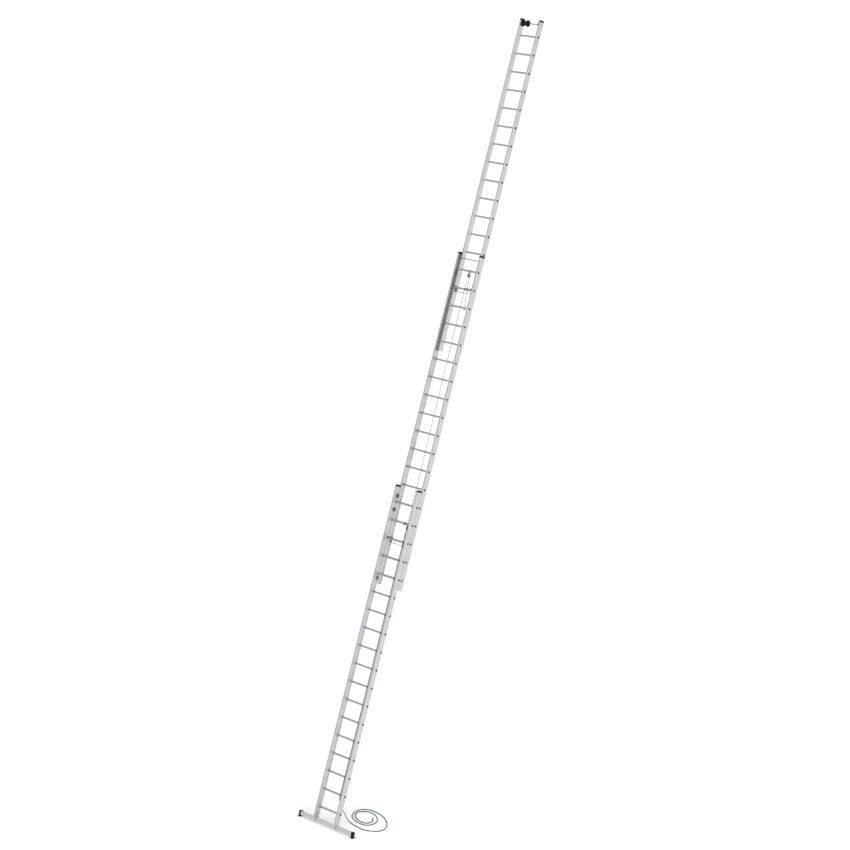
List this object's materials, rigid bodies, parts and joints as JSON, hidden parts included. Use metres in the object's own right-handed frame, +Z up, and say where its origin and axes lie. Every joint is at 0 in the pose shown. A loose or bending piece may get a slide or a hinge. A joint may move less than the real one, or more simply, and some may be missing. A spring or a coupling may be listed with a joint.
{
  "type": "extension ladder",
  "caption": "Leaning three-section rope-operated extension ladder with box-beam base, tilting feet, lock hooks, pulleys and wall rollers",
  "frame": {"origin": "on the floor midway between the two feet, below the lower section's rungs", "axes": "+X along the rungs to the climber's right, +Y level towards the wall the ladder leans on, +Z up"},
  "size_m": [1.3039, 4.5705, 11.7376],
  "materials": {
    "stile_aluminium": "satin mill finish",
    "rung_aluminium": "fluted, satin",
    "plain_aluminium": "satin",
    "black_plastic": "fine texture",
    "foot_rubber": "matt",
    "roller_rubber": "matt",
    "zinc_steel": "zinc plated",
    "bright_steel": "bright",
    "cast_aluminium": "as cast, dark",
    "sheave_plastic": "smooth",
    "haul_rope": "three-strand laid rope",
    "lift_rope": "braided rope with a dark tracer"
  },
  "bodies": {
    "lower_section": {"lower_stile_left": "stile_aluminium", "lower_stile_right": "stile_aluminium", "lower_rungs": "rung_aluminium", "lower_rung_plugs": "black_plastic", "lower_caps": "black_plastic", "lower_guides": "zinc_steel", "lower_rivets": "bright_steel", "traverse_beam": "plain_aluminium", "traverse_brackets": "zinc_steel", "traverse_bolts": "bright_steel", "foot_shoes": "black_plastic", "foot_pins": "bright_steel", "haul_pulley_block": "bright_steel", "haul_pulley_pin": "bright_steel", "lift_rope_anchor": "zinc_steel", "haul_rope": "haul_rope", "haul_rope_end": "haul_rope", "haul_strand": "haul_rope", "lift_strand_front": "lift_rope"},
    "foot_left": {"foot_pad_left": "foot_rubber"},
    "foot_right": {"foot_pad_right": "foot_rubber"},
    "haul_wheel": {"haul_sheave": "sheave_plastic"},
    "middle_section": {"middle_stile_left": "stile_aluminium", "middle_stile_right": "stile_aluminium", "middle_rungs": "rung_aluminium", "middle_rung_plugs": "black_plastic", "middle_caps": "black_plastic", "middle_bottom_guides": "zinc_steel", "middle_top_guides": "plain_aluminium", "middle_rivets": "bright_steel", "tie_rod": "zinc_steel", "tie_rod_nuts": "zinc_steel", "lift_pulley_block": "bright_steel", "lift_pulley_pin": "bright_steel", "haul_rope_anchor": "zinc_steel", "middle_hook_bushes": "black_plastic"},
    "middle_hooks": {"middle_hook_left": "cast_aluminium", "middle_hook_right": "cast_aluminium", "middle_hook_rod": "bright_steel"},
    "lift_wheel": {"lift_sheave": "sheave_plastic"},
    "top_section": {"top_stile_left": "stile_aluminium", "top_stile_right": "stile_aluminium", "top_rungs": "rung_aluminium", "top_rung_plugs": "black_plastic", "top_caps": "black_plastic", "top_guides": "plain_aluminium", "top_rivets": "bright_steel", "top_rope_anchor": "zinc_steel", "top_hook_bushes": "black_plastic", "roller_axle": "zinc_steel", "axle_nuts": "bright_steel", "lift_rope_tail": "lift_rope", "lift_strand_rear": "lift_rope"},
    "top_hooks": {"top_hook_left": "cast_aluminium", "top_hook_right": "cast_aluminium", "top_hook_rod": "bright_steel"},
    "roller_left": {"wall_roller_left": "roller_rubber"},
    "roller_middle": {"wall_roller_middle": "roller_rubber"},
    "roller_right": {"wall_roller_right": "roller_rubber"}
  },
  "joints": [
    {"name": "middle_slide", "type": "slide", "parent": "lower_section", "child": "middle_section", "axis": [0, 0.3486, 0.9373], "range_m": [-3.64, 0], "deforming": ["haul_strand", "lift_strand_front"]},
    {"name": "top_slide", "type": "slide", "parent": "middle_section", "child": "top_section", "axis": [0, 0.3486, 0.9373], "range_m": [-3.64, 0], "deforming": ["lift_strand_rear"]},
    {"name": "haul_sheave_spin", "type": "hinge", "parent": "lower_section", "child": "haul_wheel", "pos_m": [0.15, 1.63715, 4.39498], "axis": [1, 0, 0], "continuous": true},
    {"name": "lift_sheave_spin", "type": "hinge", "parent": "middle_section", "child": "lift_wheel", "pos_m": [0.062, 3.05936, 8.0313], "axis": [1, 0, 0], "continuous": true},
    {"name": "middle_hooks_swing", "type": "hinge", "parent": "middle_section", "child": "middle_hooks", "pos_m": [0, 1.61743, 4.15692], "axis": [-1, 0, 0], "range_deg": [0, 55]},
    {"name": "top_hooks_swing", "type": "hinge", "parent": "top_section", "child": "top_hooks", "pos_m": [0, 3.03913, 7.8105], "axis": [-1, 0, 0], "range_deg": [0, 55], "deforming": ["lift_rope_tail"]},
    {"name": "foot_left_tilt", "type": "hinge", "parent": "lower_section", "child": "foot_left", "pos_m": [-0.563, 0.01325, 0.03562], "axis": [1, 0, 0], "range_deg": [-20, 15]},
    {"name": "foot_right_tilt", "type": "hinge", "parent": "lower_section", "child": "foot_right", "pos_m": [0.563, 0.01325, 0.03562], "axis": [1, 0, 0], "range_deg": [-20, 15]},
    {"name": "roller_left_spin", "type": "hinge", "parent": "top_section", "child": "roller_left", "pos_m": [-0.166, 4.48628, 11.6616], "axis": [1, 0, 0], "continuous": true},
    {"name": "roller_middle_spin", "type": "hinge", "parent": "top_section", "child": "roller_middle", "pos_m": [-0.078, 4.48628, 11.6616], "axis": [1, 0, 0], "continuous": true},
    {"name": "roller_right_spin", "type": "hinge", "parent": "top_section", "child": "roller_right", "pos_m": [0.166, 4.48628, 11.6616], "axis": [1, 0, 0], "continuous": true}
  ],
  "couplings": [
    {"joint": "top_slide", "follows": "middle_slide", "ratio": 1},
    {"joint": "haul_sheave_spin", "follows": "middle_slide", "rad_per_m": 41.667},
    {"joint": "lift_sheave_spin", "follows": "middle_slide", "rad_per_m": 35.714}
  ]
}
